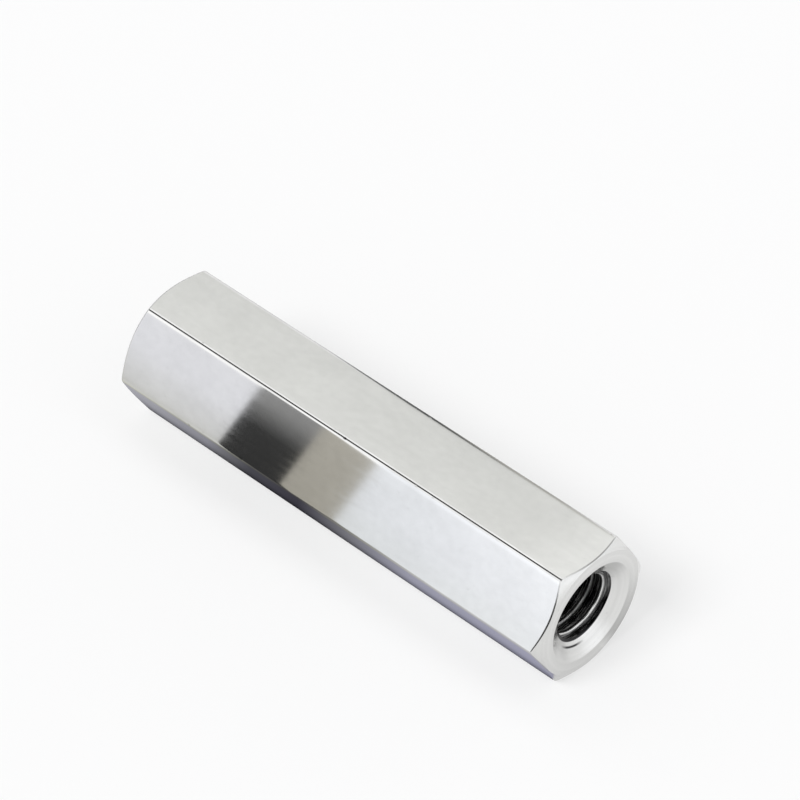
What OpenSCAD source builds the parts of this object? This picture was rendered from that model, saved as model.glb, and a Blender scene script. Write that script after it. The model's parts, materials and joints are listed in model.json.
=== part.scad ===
// Coupling nut: a long hexagon nut that joins two threaded rods end to end.
// It is one piece of cold-drawn hexagon bar: cut off, faced and chamfered at both ends,
// countersunk, and drilled right through for its thread.
// It lies on one flat, with its axis along X and its origin on the floor below its middle.

/* [Hexagon bar] */
// Distance across the flats
across_flats = 10; // [9:0.5:13]
// Length over the two end faces
nut_length = 40; // [20:1:60]
// Radius that drawing leaves on the six long edges
edge_r = 0.2; // [0.1:0.05:0.5]

/* [Ends] */
// How far the flat ring on each end stops short of the bar's flats
face_inset = 0.1; // [0.05:0.05:0.2]
// Slope of the corner chamfer, measured from the end face
chamfer_angle = 30; // [15:5:45]
// How far the countersink's rim lies outside the thread
countersink_rim = 0.95; // [0.4:0.05:1]
// Included angle of the countersink
countersink_angle = 120; // [90:5:130]

/* [Thread] */
// Outside diameter of the screw that fits
thread_d = 6; // [5:0.5:6.5]
// Pitch of the thread
thread_pitch = 1; // [0.5:0.05:1.25]

/* [Hidden] */

// Smoothness of the round shapes
$fn = 96;

// The bar: flats at flat_r from the axis, which would meet in sharp edges at corner_r
sides = 6;
half_step = 180 / sides;
flat_r = across_flats / 2;
corner_r = flat_r / cos(half_step);
// What an edge of radius edge_r leaves of each corner: the edges are lands on this circle
land_r = (flat_r - edge_r) / cos(half_step) + edge_r;

// The ends: a flat ring from the countersink's rim to face_r, then the chamfer
face_r = flat_r - face_inset;
chamfer_length = (land_r - face_r) * tan(chamfer_angle);

// The hole: drilled to the crests of a 60 degree thread, which stand 5/8 of its sharp height
thread_height = 5 / 8 * thread_pitch * cos(30);
bore_r = thread_d / 2 - thread_height;
countersink_r = thread_d / 2 + countersink_rim;
countersink_depth = (countersink_r - bore_r) / tan(countersink_angle / 2);

// Hexagon bar with sharp edges, standing on its end
module hexagon_bar() {
    cylinder(r = corner_r, h = nut_length, $fn = sides);
}

// Half section of the tooled blank, as [radius, height up the axis]
module blank_section() {
    polygon([
        [bore_r, countersink_depth],
        [countersink_r, 0],
        [face_r, 0],
        [land_r, chamfer_length],
        [land_r, nut_length - chamfer_length],
        [face_r, nut_length],
        [countersink_r, nut_length],
        [bore_r, nut_length - countersink_depth]
    ]);
}

// The nut lies along X on one of its flats
module coupling_nut() {
    color("silver")
        translate([-nut_length / 2, 0, flat_r])
            rotate([90, 0, 90])
                intersection() {
                    hexagon_bar();
                    rotate_extrude()
                        blank_section();
                }
}

coupling_nut();
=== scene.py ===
# Coupling nut, dressed: drawn flats, turned ends and a cut thread.
# Everything is in metres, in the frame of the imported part: the axis along X, the floor at Z = 0.
import json
from math import atan2, ceil, cos, hypot, pi, radians, sin, tan

import bmesh
import bpy
from mathutils import Matrix, Vector


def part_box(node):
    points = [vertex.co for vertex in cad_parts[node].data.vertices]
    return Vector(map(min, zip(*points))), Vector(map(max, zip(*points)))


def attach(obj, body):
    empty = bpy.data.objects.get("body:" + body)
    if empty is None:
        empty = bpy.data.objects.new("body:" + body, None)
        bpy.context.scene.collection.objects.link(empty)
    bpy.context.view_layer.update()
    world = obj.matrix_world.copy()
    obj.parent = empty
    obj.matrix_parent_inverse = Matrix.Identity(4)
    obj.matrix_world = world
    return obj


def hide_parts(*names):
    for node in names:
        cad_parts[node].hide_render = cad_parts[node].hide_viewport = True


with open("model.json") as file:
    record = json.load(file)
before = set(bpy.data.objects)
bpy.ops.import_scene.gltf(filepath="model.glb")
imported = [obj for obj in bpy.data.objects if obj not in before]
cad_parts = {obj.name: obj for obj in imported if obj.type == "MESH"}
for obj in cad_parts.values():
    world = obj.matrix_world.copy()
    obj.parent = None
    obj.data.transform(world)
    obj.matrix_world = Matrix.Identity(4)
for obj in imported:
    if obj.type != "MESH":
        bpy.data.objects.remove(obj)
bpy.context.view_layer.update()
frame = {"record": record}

MM = 0.001
MICRON = 0.000001

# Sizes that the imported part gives
low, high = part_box("coupling_nut")
half_length = (high.x - low.x) / 2
axis_z = (high.z + low.z) / 2
flat_r = (high.z - low.z) / 2
thread_hole = next(m for m in frame["record"]["mounts"] if m["kind"] == "threaded_hole")
bore_r = thread_hole["dims"]["r_mm"] * MM
bore_half = thread_hole["dims"]["length_mm"] * MM / 2

# Sizes that only the part's source gives
SIDES = 6
FACE_INSET = 0.1 * MM
CHAMFER_SLOPE = radians(30)
COUNTERSINK_SLOPE = radians(30)
THREAD_R = 3 * MM

# Small radii that the tools leave, too fine for the solid
FACE_EDGE_R = 0.06 * MM
FLAT_EDGE_R = 0.16 * MM
RIM_EDGE_R = 0.10 * MM

# A row of points this far before a small radius keeps the flat surface next to it evenly shaded
GUARD = 0.05 * MM

# A long edge, from a flat to its middle: finish, how far it turns, on what radius, in how many steps
EDGE_TURNS = (
    ("flat", radians(4), 4.0 * MM, 4),
    ("edge", radians(6), 0.6 * MM, 2),
    ("edge", radians(20), 0.36 * MM, 6),
)

# How many steps the mesh takes across a flat, round a small radius, along the bar and round the hole
FLAT_STEPS = 24
ARC_STEPS = 4
LENGTH_STEPS = 16
THREAD_COLUMNS = 144

# The ends: the flat ring outside the countersink, then the chamfer
half_side = pi / SIDES
face_r = flat_r - FACE_INSET
countersink_r = bore_r + (half_length - bore_half) / tan(COUNTERSINK_SLOPE)

# The thread: a 60 degree profile whose crests stand 5/8 of its sharp height
thread_height = THREAD_R - bore_r
pitch = thread_height / (5 / 8 * cos(radians(30)))
SPARE_TURNS = 3
thread_turns = ceil(2 * half_length / pitch) + SPARE_TURNS
THREAD_PHASE = 0.68
# One turn of it as (share of the pitch, share of the height from crest to root)
THREAD_PROFILE = [
    (0.05, 0.00),
    (0.15, 0.08),
    (0.28, 0.50),
    (0.41, 0.95),
    (0.50, 1.06),
    (0.59, 0.95),
    (0.72, 0.50),
    (0.85, 0.08),
    (0.95, 0.00),
]


class Skin:
    """A mesh that grows ring by ring. Each face has a zone, which sets its material."""

    def __init__(self):
        self.points = []
        self.faces = []
        self.zones = []

    def point(self, x, y, z):
        """Adds a point, with its height taken from the axis, and returns its number."""
        self.points.append((x, y, z + axis_z))
        return len(self.points) - 1

    def ring(self, x, r, count):
        """A circle of points about the axis."""
        angles = [2 * pi * i / count for i in range(count)]
        return [self.point(x, r * cos(a), r * sin(a)) for a in angles]

    def face(self, corners, zone):
        """Adds a face without its repeated corners, or nothing if fewer than three are left."""
        kept = [c for i, c in enumerate(corners) if c != corners[i - 1]]
        if len(kept) > 2:
            self.faces.append(kept)
            self.zones.append(zone)

    def strip(self, ring_a, ring_b, zones):
        """Joins two closed rings that have the same number of points."""
        for i, zone in enumerate(zones):
            j = (i + 1) % len(ring_a)
            self.face((ring_a[i], ring_a[j], ring_b[j], ring_b[i]), zone)

    def bridge(self, ring_a, ring_b, zone):
        """Joins two closed rings about the axis that have different numbers of points."""
        turn_a = self.turns(ring_a)
        turn_b = self.turns(ring_b)
        a = b = 0
        while a < len(ring_a) or b < len(ring_b):
            here_a, here_b = ring_a[a % len(ring_a)], ring_b[b % len(ring_b)]
            if b == len(ring_b) or (a < len(ring_a) and turn_a[a + 1] <= turn_b[b + 1]):
                a += 1
                self.face((here_a, ring_a[a % len(ring_a)], here_b), zone)
            else:
                b += 1
                self.face((here_a, ring_b[b % len(ring_b)], here_b), zone)

    def turns(self, ring):
        """The angle of each point of a ring about the axis, rising by a whole turn at its end."""
        angles = [atan2(self.points[i][2] - axis_z, self.points[i][1]) for i in ring]
        rising = [angles[0]]
        for previous, angle in zip(angles, angles[1:] + angles[:1]):
            rising.append(rising[-1] + (angle - previous) % (2 * pi))
        return rising


def rounded(before, corner, after, radius):
    """Points on an arc of that radius that rounds a corner in a flat section."""
    before, corner, after = Vector(before), Vector(corner), Vector(after)
    to_before = (before - corner).normalized()
    to_after = (after - corner).normalized()
    half = to_before.angle(to_after) / 2
    middle = corner + (to_before + to_after).normalized() * radius / sin(half)
    start = corner + to_before * radius / tan(half) - middle
    end = corner + to_after * radius / tan(half) - middle
    step = start.angle_signed(end) / ARC_STEPS
    return [middle + Matrix.Rotation(-step * i, 2) @ start for i in range(ARC_STEPS + 1)]


def edge_curve():
    """Half of a long edge as (way along the flat, drop below it, zone of the face towards the flat)."""
    points = [(0.0, 0.0, "flat")]
    angle = 0.0
    for zone, turn, radius, steps in EDGE_TURNS:
        for _ in range(steps):
            last, angle = angle, angle + turn / steps
            along = points[-1][0] + radius * (sin(angle) - sin(last))
            drop = points[-1][1] + radius * (cos(last) - cos(angle))
            points.append((along, drop, zone))
    return points


def bar_outline():
    """Points round the bar's section as (y, z, zone of the face that follows)."""
    edge = edge_curve()
    reach, fall, _ = edge[-1]
    half_flat = flat_r * tan(half_side) - reach - fall * tan(half_side)
    into_flat = [(-half_flat - along, drop, zone) for along, drop, zone in reversed(edge[1:])]
    flat = [(half_flat * (2 * i / FLAT_STEPS - 1), 0, "flat") for i in range(FLAT_STEPS)]
    out_of_flat = [
        (half_flat + along, drop, zone)
        for (along, drop, _), (_, _, zone) in zip(edge, edge[1:])
    ]
    outline = []
    for side in range(SIDES):
        turn = half_side * (2 * side + 1)
        for offset, drop, zone in into_flat + flat + out_of_flat:
            y = (flat_r - drop) * cos(turn) - offset * sin(turn)
            z = (flat_r - drop) * sin(turn) + offset * cos(turn)
            outline.append((y, z, zone))
    return outline


def end_section(outer_r, ring_r):
    """Half section of the +X end as (radius, x): from the flat ring over the chamfer to a flat."""
    ring = (ring_r, half_length)
    face_edge = (face_r, half_length)
    flat_edge = (outer_r, half_length - (outer_r - face_r) * tan(CHAMFER_SLOPE))
    face_arc = rounded(ring, face_edge, flat_edge, FACE_EDGE_R)
    flat_arc = rounded(face_edge, flat_edge, (outer_r, 0), FLAT_EDGE_R)
    return [Vector(ring), face_arc[0] - Vector((GUARD, 0))] + face_arc + flat_arc


def bar_column(y, z, end):
    """Points at one place of the bar's outline, from the -X end to the +X end."""
    outer_r = hypot(y, z)
    start = GUARD - end[-1].y
    step = -2 * start / LENGTH_STEPS
    flat = [Vector((outer_r, start + step * i)) for i in range(LENGTH_STEPS + 1)]
    section = [Vector((r, -x)) for r, x in end] + flat + end[::-1]
    return [(x, y * r / outer_r, z * r / outer_r) for r, x in section]


def add_outside(skin, ring_r):
    """The bar and both ends, in to ring_r. Returns the rings of points at the -X and +X ends."""
    outline = bar_outline()
    ends = [end_section(hypot(y, z), ring_r) for y, z, _ in outline]
    columns = [bar_column(y, z, end) for (y, z, _), end in zip(outline, ends)]
    rings = [[skin.point(*p) for p in row] for row in zip(*columns)]
    end_rows = len(ends[0]) - 1
    bar_zones = [zone for _, _, zone in outline]
    end_zones = ["end"] * len(outline)
    for row, (ring_a, ring_b) in enumerate(zip(rings, rings[1:])):
        on_bar = end_rows <= row < len(rings) - 1 - end_rows
        skin.strip(ring_a, ring_b, bar_zones if on_bar else end_zones)
    return rings[0], rings[-1]


# The rim of a countersink, from the flat ring to where its cone begins
rim_arc = rounded(
    (face_r, half_length),
    (countersink_r, half_length),
    (bore_r, bore_half),
    RIM_EDGE_R,
)
rim_r, rim_x = rim_arc[-1]


def cone_r(x):
    """Radius of the countersinks at x."""
    return rim_r - (rim_x - abs(x)) / tan(COUNTERSINK_SLOPE)


def seat_crossings(rows):
    """Moves the row nearest to each place where thread and cone cross to that place."""
    for here, there in zip(rows, rows[1:]):
        rise = there[2] - here[2]
        if here[2] * there[2] < 0 and abs(rise) > abs(there[0] - here[0]):
            t = -here[2] / rise
            nearer = here if t < 0.5 else there
            x = here[0] + t * (there[0] - here[0])
            nearer[:] = [x, cone_r(x), 0.0]


def hole_column(share):
    """The hole's wall at a share of a turn, as rows of (x, radius, how far the cone stands out)."""
    rows = []
    for turn in range(thread_turns):
        for along, depth in THREAD_PROFILE:
            x = pitch * (turn - thread_turns // 2 + along + share + THREAD_PHASE)
            r = bore_r + depth * thread_height
            rows.append([x, r, cone_r(x) - r])
    seat_crossings(rows)
    return [(x, r + max(gap, 0), gap) for x, r, gap in rows]


# A face that lies less than this behind a countersink's cone, on average, counts as part of it
CONE_MERGE = 0.03 * MM


def add_wall_face(skin, corners, gaps):
    """A face of the hole's wall, split where the edge of the countersink runs across it."""
    if gaps[0] == 0 == gaps[2] or gaps[1] == 0 == gaps[3]:
        k = 0 if gaps[0] == 0 == gaps[2] else 1
        halves = ((k, k + 1, k + 2), (k, k + 2, (k + 3) % 4))
    else:
        halves = ((0, 1, 2, 3),)
    for half in halves:
        on_cone = sum(gaps[i] for i in half) > -CONE_MERGE * len(half)
        skin.face([corners[i] for i in half], "end" if on_cone else "thread")


def wall_column(skin, rims, i):
    """Column i of the hole's wall as (point, gap). Past a rim, its points are those of the rim."""
    turn = 2 * pi * i / THREAD_COLUMNS
    column = []
    for x, r, gap in hole_column(i / THREAD_COLUMNS):
        if abs(x) < rim_x:
            point = skin.point(x, r * cos(turn), r * sin(turn))
        else:
            point = rims[1 if x > 0 else -1][-1][i]
        column.append((point, gap))
    return column


def add_inside(skin):
    """The threaded hole with its two countersinks. Returns the rings at the -X and +X ends."""
    rims = {
        side: [skin.ring(side * x, r, THREAD_COLUMNS) for r, x in rim_arc] for side in (-1, 1)
    }
    walls = [wall_column(skin, rims, i) for i in range(THREAD_COLUMNS)]
    # A whole turn on, the first column comes round again one pitch further along
    walls.append(walls[0][len(THREAD_PROFILE):])
    for wall_a, wall_b in zip(walls, walls[1:]):
        for row in range(len(wall_b) - 1):
            quad = (wall_a[row], wall_a[row + 1], wall_b[row + 1], wall_b[row])
            add_wall_face(skin, [c for c, _ in quad], [gap for _, gap in quad])
    for rings in rims.values():
        for ring_a, ring_b in zip(rings, rings[1:]):
            skin.strip(ring_a, ring_b, ["end"] * THREAD_COLUMNS)
    return rims[-1][0], rims[1][0]


# Faces that turn by more than this at an edge keep it sharp
SHARP = radians(32)

# Width of the band on each flat ring that joins the hole's rim to the bar
RING_GAP = 0.06 * MM


def skin_mesh(skin, materials):
    """The skin as a mesh, with each face in its zone's material."""
    mesh = bpy.data.meshes.new("threaded_nut")
    mesh.from_pydata(skin.points, [], skin.faces)
    zones = list(materials)
    for zone in zones:
        mesh.materials.append(materials[zone])
    for face, zone in zip(mesh.polygons, skin.zones):
        face.material_index = zones.index(zone)
        face.use_smooth = True
    return mesh


def clean_mesh(mesh):
    """Drops loose points, turns the faces outwards and marks the sharp edges."""
    work = bmesh.new()
    work.from_mesh(mesh)
    loose = [v for v in work.verts if not v.link_faces]
    bmesh.ops.delete(work, geom=loose, context="VERTS")
    bmesh.ops.recalc_face_normals(work, faces=work.faces)
    for edge in work.edges:
        edge.smooth = edge.calc_face_angle(0) < SHARP
    work.to_mesh(mesh)
    work.free()


def make_nut(materials):
    """The nut as one closed mesh, with one material for each kind of surface."""
    skin = Skin()
    hole_ends = add_inside(skin)
    bar_ends = add_outside(skin, rim_arc[0].x + RING_GAP)
    for bar_ring, hole_ring in zip(bar_ends, hole_ends):
        skin.bridge(bar_ring, hole_ring, "end")
    mesh = skin_mesh(skin, materials)
    clean_mesh(mesh)
    nut = bpy.data.objects.new("threaded_nut", mesh)
    bpy.context.collection.objects.link(nut)
    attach(nut, "root")
    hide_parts("coupling_nut")


class Graph:
    """A node tree. Each method adds a node and returns the socket with its result."""

    def __init__(self, tree):
        self.tree = tree
        tree.nodes.clear()

    def add(self, kind, inputs, output=0, **settings):
        """A node with its settings, and with its inputs set to values or linked to sockets."""
        made = self.tree.nodes.new(kind)
        for name, value in settings.items():
            setattr(made, name, value)
        for name, value in inputs.items():
            if isinstance(value, bpy.types.NodeSocket):
                self.tree.links.new(value, made.inputs[name])
            else:
                made.inputs[name].default_value = value
        return made.outputs[output]

    def math(self, operation, *values):
        """The result of an operation on values or sockets."""
        return self.add("ShaderNodeMath", dict(enumerate(values)), operation=operation)

    def remap(self, value, low, high, to_low=0.0, to_high=1.0):
        """The value carried from one range to another, and kept inside it."""
        inputs = {"Value": value, "From Min": low, "From Max": high}
        inputs.update({"To Min": to_low, "To Max": to_high})
        return self.add("ShaderNodeMapRange", inputs)

    def ramp(self, value, stops):
        """The colour at a value, between (value, colour) stops."""
        first, last = stops[0][0], stops[-1][0]
        share = self.remap(value, first, last)
        socket = self.add("ShaderNodeValToRGB", {"Fac": share})
        elements = socket.node.color_ramp.elements
        while len(elements) < len(stops):
            elements.new(1.0)
        for element, (position, colour) in zip(elements, stops):
            element.position = (position - first) / (last - first)
            element.color = (*colour, 1)
        return socket

    def blend(self, factor, a, b, mode="MIX"):
        """Two colours mixed. A Mix node's colour sockets are its inputs 6 and 7 and output 2."""
        inputs = {0: factor, 6: a, 7: b}
        return self.add("ShaderNodeMix", inputs, 2, data_type="RGBA", blend_type=mode)

    def place(self):
        """Where a point lies on the object, in metres: the vector, and its x, y and z."""
        where = self.add("ShaderNodeTexCoord", {}, "Object")
        axes = self.add("ShaderNodeSeparateXYZ", {"Vector": where}).node.outputs
        return where, axes["X"], axes["Y"], axes["Z"]

    def noise(self, where, cells, detail=2.0):
        """Noise from 0 to 1 with that many cells a metre along X, Y and Z."""
        scaled = self.add("ShaderNodeVectorMath", {0: where, 1: cells}, operation="MULTIPLY")
        return self.add("ShaderNodeTexNoise", {"Vector": scaled, "Scale": 1.0, "Detail": detail})


def new_material(name):
    """An empty node material: itself, its node graph and its output's surface socket."""
    material = bpy.data.materials.new(name)
    material.use_nodes = True
    graph = Graph(material.node_tree)
    output = material.node_tree.nodes.new("ShaderNodeOutputMaterial")
    return material, graph, output.inputs["Surface"]


def finish_metal(graph, surface, colour, roughness, height):
    """Bare metal with that colour and roughness, and with a height in microns as its relief."""
    relief = graph.add("ShaderNodeBump", {"Height": height, "Strength": 1.0, "Distance": MICRON})
    inputs = {"Base Color": colour, "Metallic": 1.0, "Roughness": roughness, "Normal": relief}
    graph.tree.links.new(graph.add("ShaderNodeBsdfPrincipled", inputs), surface)


def axis_distance(graph, y, z):
    """How far a point lies from the nut's axis."""
    up = graph.math("SUBTRACT", z, axis_z)
    squares = graph.math("ADD", graph.math("MULTIPLY", y, y), graph.math("MULTIPLY", up, up))
    return graph.math("SQRT", squares)


# Tones of the small marks on flats, long edges and ends
PIT_TONE = (0.5, 0.5, 0.49, 1)
NICK_TONE = (0.6, 0.6, 0.59, 1)
DENT_TONE = (0.45, 0.45, 0.44, 1)


def drawn_flat():
    """Flats of drawn bar: die lines along the bar, soft clouds and a few fine pits."""
    material, graph, surface = new_material("drawn_flat")
    where, _, _, _ = graph.place()
    die_lines = graph.noise(where, (60, 3500, 3500), 3)
    fine_lines = graph.noise(where, (200, 11000, 11000))
    clouds = graph.noise(where, (260, 420, 420), 3)
    mottle = graph.noise(where, (1300, 1700, 1700), 3)
    pits = graph.remap(graph.noise(where, (5200, 5200, 5200)), 0.70, 0.76)
    patches = graph.math("MULTIPLY_ADD", mottle, 0.45, graph.math("MULTIPLY", clouds, 0.55))
    tint = graph.ramp(patches, [(0.36, (0.775, 0.775, 0.765)), (0.64, (0.83, 0.83, 0.82))])
    colour = graph.blend(graph.math("MULTIPLY", pits, 0.35), tint, PIT_TONE)
    roughness = graph.remap(die_lines, 0.3, 0.7, 0.115, 0.165)
    lines = graph.math("MULTIPLY_ADD", die_lines, 0.7, graph.math("MULTIPLY", fine_lines, 0.25))
    height = graph.math("MULTIPLY_ADD", clouds, 3.0, lines)
    height = graph.math("MULTIPLY_ADD", pits, -0.25, height)
    finish_metal(graph, surface, colour, roughness, height)
    return material


def drawn_edge():
    """Long edges: brighter than the flats where the bar has rubbed, with small nicks."""
    material, graph, surface = new_material("drawn_edge")
    where, _, _, _ = graph.place()
    rubbed = graph.noise(where, (420, 900, 900), 3)
    nicks = graph.remap(graph.noise(where, (1500, 2500, 2500)), 0.66, 0.74)
    bright = graph.ramp(rubbed, [(0.35, (0.78, 0.78, 0.77)), (0.65, (0.86, 0.86, 0.85))])
    colour = graph.blend(nicks, bright, NICK_TONE)
    roughness = graph.remap(rubbed, 0.35, 0.65, 0.16, 0.09)
    height = graph.math("MULTIPLY_ADD", nicks, -6.0, graph.math("MULTIPLY", rubbed, 2.0))
    finish_metal(graph, surface, colour, roughness, height)
    return material


# Painted shade at the mouth of the hole: the countersinks are painted near black inside this radius,
# with a soft edge
MOUTH_SHADE = (0.03, 0.03, 0.032, 1)
MOUTH_SHADE_R = 2.72 * MM
MOUTH_SHADE_BLUR = 0.02 * MM

# A short dark arc painted on one countersink, as the shade at the foot of a lip that the mesh does not
# have, full in its core and fading to its outside
SHADE_ARC_R = 3.04 * MM
SHADE_ARC_CORE_WIDTH = 0.03 * MM
SHADE_ARC_WIDTH = 0.10 * MM
SHADE_ARC_TURN = radians(-116)
SHADE_ARC_CORE_SPREAD = radians(10.4)
SHADE_ARC_SPREAD = radians(26)


def shade_arc(graph, x, y, z, r):
    """A short arc of painted shade on the +X countersink: 1 on its line and 0 off it."""
    off_line = graph.math("ABSOLUTE", graph.math("SUBTRACT", r, SHADE_ARC_R))
    on_line = graph.remap(off_line, SHADE_ARC_CORE_WIDTH, SHADE_ARC_WIDTH, 1.0, 0.0)
    turn = graph.math("ARCTAN2", graph.math("SUBTRACT", z, axis_z), y)
    off_middle = graph.math("ABSOLUTE", graph.math("SUBTRACT", turn, SHADE_ARC_TURN))
    in_arc = graph.remap(off_middle, SHADE_ARC_CORE_SPREAD, SHADE_ARC_SPREAD, 1.0, 0.0)
    right_end = graph.math("GREATER_THAN", x, 0.0)
    return graph.math("MULTIPLY", graph.math("MULTIPLY", on_line, in_arc), right_end)


def turned_end():
    """Ends off the lathe: fine rings about the axis, small dents, and painted shade: near black at the
    mouth of the hole and on a short arc on the +X countersink.
    """
    material, graph, surface = new_material("turned_end")
    where, x, y, z = graph.place()
    r = axis_distance(graph, y, z)
    about = graph.add("ShaderNodeCombineXYZ", {"X": r, "Y": x})
    rings = graph.noise(about, (14000, 14000, 0), 2)
    broad_rings = graph.noise(about, (2600, 2600, 0), 1)
    dents = graph.remap(graph.noise(where, (2600, 2600, 2600)), 0.68, 0.76)
    clouds = graph.noise(where, (700, 700, 700), 3)
    tint = graph.ramp(broad_rings, [(0.3, (0.745, 0.745, 0.735)), (0.7, (0.80, 0.80, 0.79))])
    colour = graph.blend(graph.math("MULTIPLY", dents, 0.4), tint, DENT_TONE)
    # Painted shade: near black at the mouth of the hole and on the short arc, the lathe's colour
    # elsewhere
    unshaded = graph.remap(r, MOUTH_SHADE_R - MOUTH_SHADE_BLUR, MOUTH_SHADE_R + MOUTH_SHADE_BLUR)
    off_arc = graph.math("SUBTRACT", 1.0, shade_arc(graph, x, y, z, r))
    unshaded = graph.math("MINIMUM", unshaded, off_arc)
    colour = graph.blend(unshaded, MOUTH_SHADE, colour)
    ring_roughness = graph.remap(rings, 0.3, 0.7, 0.15, 0.22)
    cloud_roughness = graph.remap(clouds, 0.3, 0.7, 0.0, 0.05)
    roughness = graph.math("ADD", ring_roughness, cloud_roughness)
    height = graph.math("MULTIPLY_ADD", rings, 0.9, graph.math("MULTIPLY", broad_rings, 2.0))
    height = graph.math("MULTIPLY_ADD", dents, -4.0, height)
    finish_metal(graph, surface, colour, roughness, height)
    return material


# Painted shade inside the hole: the crest tops are painted dark, and the flanks go from bright metal at
# the crest edges to painted shade, near black, at the root
CREST_TOP_SHADE = (0.12, 0.12, 0.12, 1)
TOP_EDGE = bore_r + 0.01 * MM
FLANK_EDGE = bore_r + 0.03 * MM
FLANK_TONES = [
    (bore_r + 0.14 * MM, (0.90, 0.90, 0.89)),
    (bore_r + 0.18 * MM, (0.50, 0.50, 0.49)),
    (bore_r + 0.24 * MM, (0.09, 0.09, 0.09)),
    (THREAD_R, (0.04, 0.04, 0.042)),
]
# Lighter streaks along the thread, painted as glints in the dark grooves
GLINT_TONE = (0.62, 0.62, 0.61, 1)
# How far patches of noise can draw the painted shade in from the root
SHADE_REACH = 0.12 * MM


def cut_thread():
    """Thread, painted dark as the shade inside the hole: bright crest edges, dark crest tops, grooves
    painted near black, and lighter streaks painted as glints.
    """
    material, graph, surface = new_material("cut_thread")
    where, x, y, z = graph.place()
    r = axis_distance(graph, y, z)
    along_cut = graph.add("ShaderNodeCombineXYZ", {"X": r, "Y": x})
    tears = graph.noise(along_cut, (9000, 9000, 0), 3)
    shade_patches = graph.noise(where, (900, 900, 900), 3)
    flank = graph.ramp(graph.math("MULTIPLY_ADD", shade_patches, SHADE_REACH, r), FLANK_TONES)
    glint_streaks = graph.math("MULTIPLY", graph.remap(tears, 0.47, 0.58), graph.remap(shade_patches, 0.38, 0.54))
    flank = graph.blend(graph.math("MULTIPLY", glint_streaks, 0.7), flank, GLINT_TONE)
    colour = graph.blend(graph.remap(r, TOP_EDGE, FLANK_EDGE), CREST_TOP_SHADE, flank)
    roughness = graph.remap(tears, 0.3, 0.7, 0.22, 0.36)
    height = graph.math("MULTIPLY", tears, 2.0)
    finish_metal(graph, surface, colour, roughness, height)
    return material


make_nut(
    {
        "flat": drawn_flat(),
        "edge": drawn_edge(),
        "end": turned_end(),
        "thread": cut_thread(),
    }
)

# The stage: a pale floor, a soft pale room and a few cards for the metal to mirror
FLOOR_SIZE = 4.0
FLOOR_DROP = 0.01 * MM
FLOOR_ALBEDO = (0.86, 0.86, 0.86, 1)
FLOOR_WHITE = 0.55


def make_plane(name, corners, material):
    """A four-sided sheet that belongs to the stage."""
    mesh = bpy.data.meshes.new(name)
    mesh.from_pydata(corners, [], [(0, 1, 2, 3)])
    mesh.materials.append(material)
    plane = bpy.data.objects.new(name, mesh)
    bpy.context.collection.objects.link(plane)
    return plane


def make_floor():
    """A matt floor that the camera and mirrors see part way to plain white, shadow and all."""
    material, graph, surface = new_material("pale_floor")
    path = graph.add("ShaderNodeLightPath", {}).node.outputs
    mirrored = graph.math("MAXIMUM", path["Is Glossy Ray"], path["Is Transmission Ray"])
    seen = graph.math("MAXIMUM", path["Is Camera Ray"], mirrored)
    paint = graph.add("ShaderNodeBsdfDiffuse", {"Color": FLOOR_ALBEDO})
    white = graph.add("ShaderNodeEmission", {"Color": (1, 1, 1, 1)})
    share = graph.math("MULTIPLY", seen, FLOOR_WHITE)
    mixed = graph.add("ShaderNodeMixShader", {0: share, 1: paint, 2: white})
    graph.tree.links.new(mixed, surface)
    half = FLOOR_SIZE / 2
    corners = [(-half, -half), (half, -half), (half, half), (-half, half)]
    make_plane("floor", [(x, y, -FLOOR_DROP) for x, y in corners], material)


def place_card(name, corners, material):
    """Puts up a card that only mirrors see. Its corners are in millimetres."""
    card = make_plane(name, [tuple(c * MM for c in corner) for corner in corners], material)
    card.visible_camera = False
    card.visible_diffuse = False
    card.visible_transmission = False
    card.visible_shadow = False


def make_plain_card(name, corners, colour):
    """A card of one colour."""
    material, graph, surface = new_material(name)
    graph.tree.links.new(graph.add("ShaderNodeEmission", {"Color": (*colour, 1)}), surface)
    place_card(name, corners, material)


def make_card(name, corners, tones, fade=None, mode="MULTIPLY"):
    """A card whose tones run along an axis, between stops in millimetres.
    A fade along another axis is mixed with them in a mode."""
    material, graph, surface = new_material(name)
    places = dict(zip("XYZ", graph.place()[1:]))

    def along(axis, stops):
        return graph.ramp(places[axis], [(mm * MM, colour) for mm, colour in stops])

    colour = along(*tones)
    if fade:
        colour = graph.blend(1.0, colour, along(*fade), mode)
    graph.tree.links.new(graph.add("ShaderNodeEmission", {"Color": colour}), surface)
    place_card(name, corners, material)


def grey(tone):
    """A neutral colour."""
    return (tone, tone, tone)


# Tones that several cards share
DARK = grey(0.035)
LIT = grey(1.2)

# Sizes that several cards share, in millimetres: how high a card lies over the floor and over another
# card, how far out the strips along the nut reach, where those past its end begin, and their front
CARD_LIFT = 0.02
OVERLAY_LIFT = 2 * CARD_LIFT
STRIP_END = 19.3
END_START = 19.35
STRIP_FRONT = -16


def upright(start, end, top):
    """Corners of a card that stands on the floor between two points."""
    (x0, y0), (x1, y1) = start, end
    return [(x0, y0, 0), (x1, y1, 0), (x1, y1, top), (x0, y0, top)]


def level(corner, opposite, height=CARD_LIFT):
    """Corners of a card that lies just above the floor, or hangs level at a height."""
    (x0, y0), (x1, y1) = corner, opposite
    return [(x0, y0, height), (x1, y0, height), (x1, y1, height), (x0, y1, height)]


# The screen in front of the nut: where its leaves begin and end, from left to right, and its top
LEAF_CORNERS = ((-60, -10.6), (-12.8, -10.6), (-6.9, -11.0), (-4.5, -16.2), (16.4, -17.25))
LEAF_TOP = 15


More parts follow.
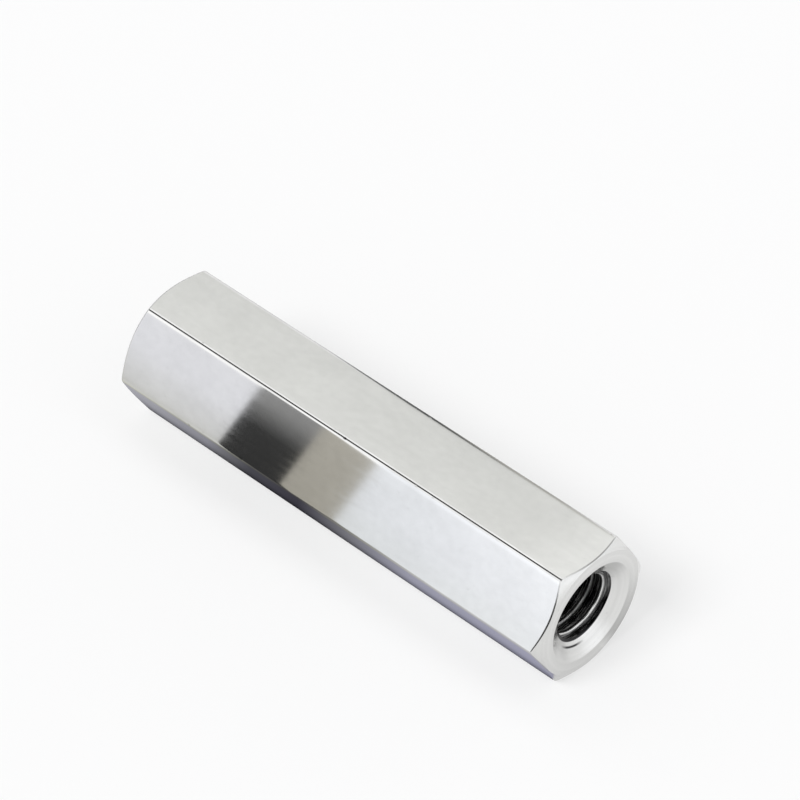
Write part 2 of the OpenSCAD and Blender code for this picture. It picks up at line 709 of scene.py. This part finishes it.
def make_front_leaves():
    """A screen of four leaves, whose patches the front flat mirrors."""
    left, dark, beige, pale, right = LEAF_CORNERS
    make_card(
        "dark_leaf",
        upright(dark, beige, LEAF_TOP),
        ("Z", [(8.35, DARK), (10.3, grey(0.29)), (12.1, grey(0.29)), (12.9, LIT)]),
    )
    make_card(
        "beige_leaf",
        upright(beige, pale, LEAF_TOP),
        ("Z", [(5, (0.42, 0.40, 0.35)), (12.2, (0.47, 0.45, 0.40)), (13.0, LIT)]),
    )
    bluish = (0.87, 0.875, 0.92)
    # Painted shadow: the left leaf is darker towards its foot, for the shade on the floor beside the
    # nut
    make_card(
        "left_leaf",
        upright(left, dark, LEAF_TOP),
        ("Z", [(5, (0.66, 0.66, 0.64)), (8.5, bluish), (11.3, bluish), (12.2, LIT)]),
    )
    make_card(
        "right_leaf",
        upright(pale, right, LEAF_TOP),
        (
            "X",
            [(-4, (0.92, 0.945, 0.99)), (4.2, (0.98, 1.0, 1.05)), (12, (1.07, 1.09, 1.14))],
        ),
        ("Z", [(6.8, (0.91, 0.915, 0.90)), (8.6, grey(0.965)), (11.5, grey(1.0)), (12.5, grey(1.15))]),
    )


# What the lower front flat mirrors: painted shadow of the floor in front of and under the nut, as tones
# along the nut and a fade that darkens towards it
FOOT_TONES = [
    (-22, (0.90, 0.90, 1.0)),
    (-14, (0.58, 0.58, 0.67)),
    (-12.3, (0.36, 0.36, 0.40)),
    (-9.8, (0.15, 0.15, 0.18)),
    (-5, (0.105, 0.10, 0.135)),
    (0, (0.42, 0.42, 0.48)),
    (6, (0.76, 0.76, 0.95)),
    (19, (0.80, 0.80, 1.04)),
]
FOOT_FADE = [
    (-16, (1.0, 1.0, 0.8)),
    (-6, (0.65, 0.65, 0.52)),
    (-4.3, (0.50, 0.50, 0.42)),
    (-3.8, grey(0.49)),
    (-3.25, grey(0.45)),
    (-3.0, grey(0.2)),
    (-2.9, grey(0.05)),
]


def make_foot_cards():
    """Cards on the floor in front of the nut, painted with the floor's shadow there, with the same
    tones right across them.
    """
    places = {
        "foot_strip": level((-STRIP_END, STRIP_FRONT), (STRIP_END, -2.4)),
        "foot_left": level((-30, STRIP_FRONT), (-STRIP_END, -2.85)),
        "foot_right": level((STRIP_END, STRIP_FRONT), (21, -3.15), OVERLAY_LIFT),
    }
    for name, corners in places.items():
        make_card(name, corners, ("X", FOOT_TONES), ("Y", FOOT_FADE))


def make_end_cards():
    """Cards on the floor past the +X end, painted with the nut's shadow on the floor there and darker
    towards the end, which its ring and countersink mirror.
    """
    make_card(
        "end_strip",
        level((END_START, STRIP_FRONT), (80, 24)),
        (
            "X",
            [(20, grey(0.69)), (21, grey(0.76)), (23, grey(0.83)), (27, grey(0.89)), (80, grey(0.8))],
        ),
    )
    make_card(
        "end_shade",
        level((END_START, 1.8), (23.6, 9), OVERLAY_LIFT),
        ("X", [(20.6, grey(0.52)), (21.6, grey(0.60)), (22.4, grey(0.69)), (23.5, grey(0.84))]),
        ("Y", [(1.9, grey(0.76)), (3.6, grey(0.52)), (6, grey(0.52)), (8.8, grey(0.76))]),
        "LIGHTEN",
    )


def make_top_sheet():
    """A sheet that hangs above and behind the nut, which the top flat mirrors."""
    make_card(
        "top_sheet",
        level((-70, 13), (24, 34), 40),
        (
            "X",
            [
                (-5, (0.825, 0.83, 0.81)),
                (-2.2, (0.85, 0.855, 0.835)),
                (-0.8, (0.95, 0.955, 0.935)),
                (5, (1.0, 1.0, 0.985)),
                (9, (0.95, 0.95, 0.935)),
                (22, (0.4, 0.4, 0.395)),
            ],
        ),
        ("Y", [(17, grey(1.04)), (20, grey(1.03)), (26.5, grey(0.965)), (31, grey(0.95))]),
    )


def make_flags():
    """Dark cards that the edges and chamfers of the two ends mirror."""
    make_card(
        "end_flag",
        upright((16.8, -17.3), (52, -18), 13.5),
        ("X", [(16.8, grey(0.5)), (18.8, DARK), (40, DARK), (52, grey(0.5))]),
    )
    make_plain_card("left_flag", upright((-42, -9), (-42, 30), 12), grey(0.1))


def make_back_cards():
    """A screen behind the nut, and a card on the floor there painted with the shade under the nut,
    darker towards it, for the two back flats.
    """
    make_card(
        "back_leaf",
        upright((-60, 30), (24, 30), 36),
        (
            "X",
            [
                (-60, grey(0.95)),
                (-24, grey(0.90)),
                (-20, grey(0.16)),
                (-12, grey(0.10)),
                (-7, (0.46, 0.45, 0.42)),
                (1, (0.52, 0.51, 0.48)),
                (4, grey(0.92)),
                (24, grey(1.0)),
            ],
        ),
        ("Z", [(0, grey(0.5)), (9, grey(0.7)), (16, grey(1.0))]),
    )
    make_card(
        "back_strip",
        level((-STRIP_END, 2.6), (STRIP_END, 10)),
        ("Y", [(2.8, grey(0.25)), (4, grey(0.5)), (7, grey(0.75)), (10, grey(0.95))]),
    )


# The room's light by its angle in degrees over the nut, from the floor behind to the floor in front
ROOM_PEAK = 1.25
ROOM = [
    (0, (1.02, 1.04, 1.07)),
    (20, (0.92, 0.93, 0.93)),
    (38, (0.38, 0.38, 0.375)),
    (60, (0.38, 0.38, 0.375)),
    (68, grey(1.12)),
    (91, grey(1.12)),
    (99, grey(0.03)),
    (123, grey(0.03)),
    (131, grey(1.15)),
    (158, (1.0, 1.01, 1.03)),
    (167, (0.90, 0.915, 0.945)),
    (180, (0.90, 0.915, 0.945)),
]
# The wall past each end by the height of a direction, and how bright it is at the left and right ends
WALL = [(0.05, (1.22, 1.23, 1.25)), (0.2, (1.06, 1.07, 1.09)), (0.6, (0.86, 0.87, 0.88))]
WALL_SIDES = [(-0.6, grey(0.8)), (0.6, grey(1.0))]
# How far along X a direction points where the room begins to close, and where the wall begins
ROOM_END = 0.65
WALL_START = 0.85


def to_peak(stops):
    """Stops with their colours as shares of the room's peak."""
    return [(place, tuple(c / ROOM_PEAK for c in colour)) for place, colour in stops]



def make_world():
    """A room of long soft strips along the nut, which close into a plain wall past each end."""
    world = bpy.data.worlds.new("room")
    bpy.context.scene.world = world
    world.use_nodes = True
    graph = Graph(world.node_tree)
    where = graph.add("ShaderNodeTexCoord", {}, "Generated")
    axes = graph.add("ShaderNodeSeparateXYZ", {"Vector": where}).node.outputs
    over = graph.math("ARCTAN2", axes["Z"], axes["Y"])
    strips = graph.ramp(over, to_peak([(radians(angle), colour) for angle, colour in ROOM]))
    past_end = graph.remap(graph.math("ABSOLUTE", axes["X"]), ROOM_END, WALL_START)
    wall = graph.ramp(axes["Z"], to_peak(WALL))
    wall = graph.blend(1.0, wall, graph.ramp(axes["X"], WALL_SIDES), "MULTIPLY")
    room = graph.blend(past_end, strips, wall)
    light = graph.add("ShaderNodeBackground", {"Color": room, "Strength": ROOM_PEAK})
    output = world.node_tree.nodes.new("ShaderNodeOutputWorld")
    world.node_tree.links.new(light, output.inputs["Surface"])


# The key light: the way to it, how wide it looks from the nut and how strong it is
KEY_FROM = Vector((-0.1, -0.62, 0.77))
KEY_SPREAD = radians(24)
KEY_STRENGTH = 1.7


def make_key():
    """A soft light from the front that falls on the floor and that the metal doesn't mirror."""
    data = bpy.data.lights.new("key", "SUN")
    data.angle = KEY_SPREAD
    data.energy = KEY_STRENGTH
    key = bpy.data.objects.new("key", data)
    key.rotation_euler = (-KEY_FROM).to_track_quat("-Z", "Y").to_euler()
    key.visible_glossy = False
    bpy.context.collection.objects.link(key)


make_floor()
make_front_leaves()
make_foot_cards()
make_end_cards()
make_top_sheet()
make_flags()
make_back_cards()
make_world()
make_key()

# The camera: where it looks on the floor, from where, how it is rolled, and its lens in millimetres
CAMERA_TARGET = Vector((-7.236 * MM, 10.444 * MM, 0))
CAMERA_AZIMUTH = radians(41.77)
CAMERA_ELEVATION = radians(43.38)
CAMERA_DISTANCE = 344.4 * MM
CAMERA_ROLL = radians(1.32)
CAMERA_LENS = 212.9
CAMERA_SENSOR = 36
CAMERA_NEAR = 0.01
CAMERA_FAR = 20


def make_camera():
    """The photo's camera."""
    data = bpy.data.cameras.new("camera")
    data.sensor_width = CAMERA_SENSOR
    data.lens = CAMERA_LENS
    data.clip_start = CAMERA_NEAR
    data.clip_end = CAMERA_FAR
    camera = bpy.data.objects.new("camera", data)
    bpy.context.collection.objects.link(camera)
    reach = cos(CAMERA_ELEVATION)
    back = Vector(
        (reach * sin(CAMERA_AZIMUTH), -reach * cos(CAMERA_AZIMUTH), sin(CAMERA_ELEVATION))
    )
    turn = (-back).to_track_quat("-Z", "Y").to_matrix() @ Matrix.Rotation(CAMERA_ROLL, 3, "Z")
    place = Matrix.Translation(CAMERA_TARGET + back * CAMERA_DISTANCE)
    camera.matrix_world = place @ turn.to_4x4()
    bpy.context.scene.camera = camera


make_camera()
bpy.context.scene.view_settings.view_transform = "Standard"
